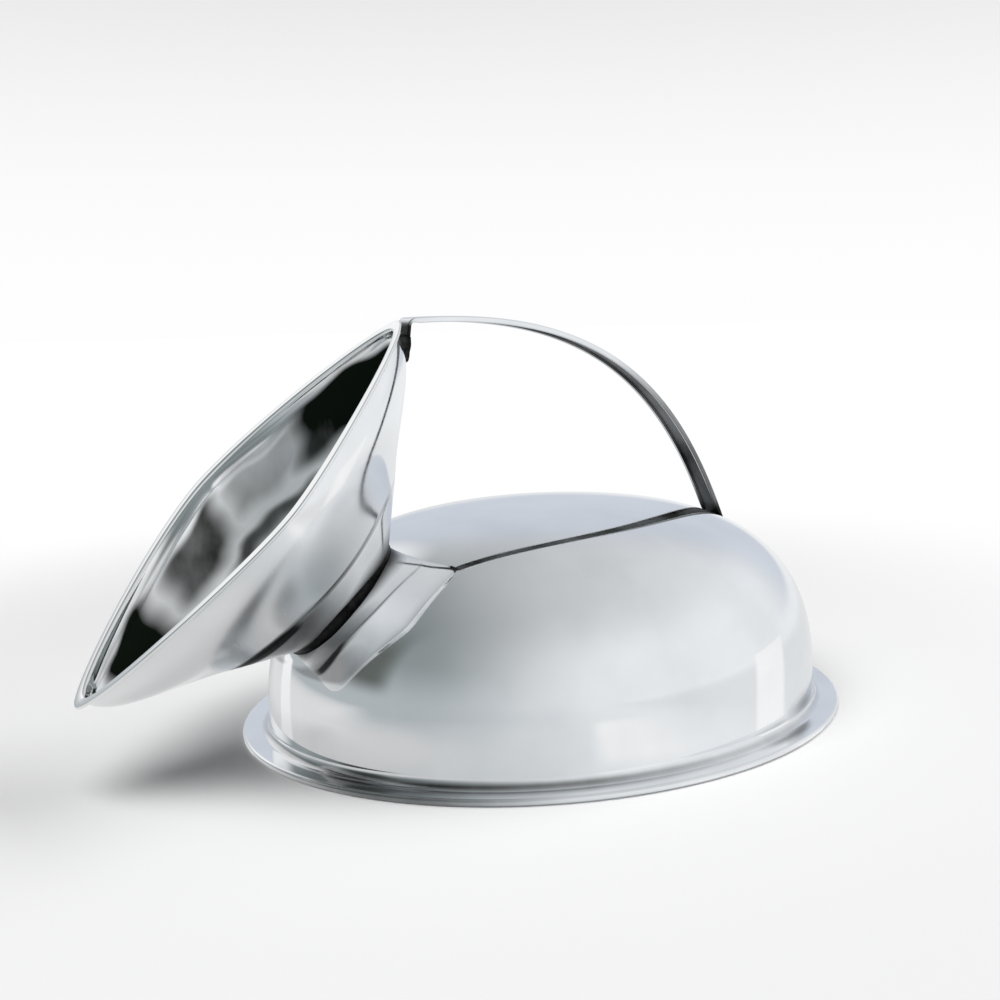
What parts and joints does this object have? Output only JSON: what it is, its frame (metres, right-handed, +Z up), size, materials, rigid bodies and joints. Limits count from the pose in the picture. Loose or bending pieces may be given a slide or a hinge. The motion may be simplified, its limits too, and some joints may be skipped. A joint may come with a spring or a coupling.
{
  "type": "urine bottle",
  "caption": "Low oval steel vessel with a slanted flared mouth on a short neck and an arched strap handle, used to collect urine in bed.",
  "frame": {"origin": "middle of the base's oval, on the face that it rests on", "axes": "+Z up; X along the long axis, with the funnel towards -X and the handle's foot towards +X"},
  "size_m": [0.2326, 0.156, 0.1167],
  "materials": {
    "body": "mirror-polished stainless steel",
    "base": "satin stainless steel",
    "rim_edge": "polished stainless steel",
    "neck": "polished stainless steel",
    "funnel": "mirror-polished stainless steel",
    "handle": "polished stainless steel",
    "weld": "dressed weld metal"
  },
  "bodies": {
    "root": {"body_shell": "body", "base_plate": "base", "rim_weld": "rim_edge", "neck": "neck", "neck_weld": "weld", "funnel": "funnel", "handle": "handle", "handle_top_weld": "weld", "handle_foot_weld": "weld"}
  },
  "joints": []
}
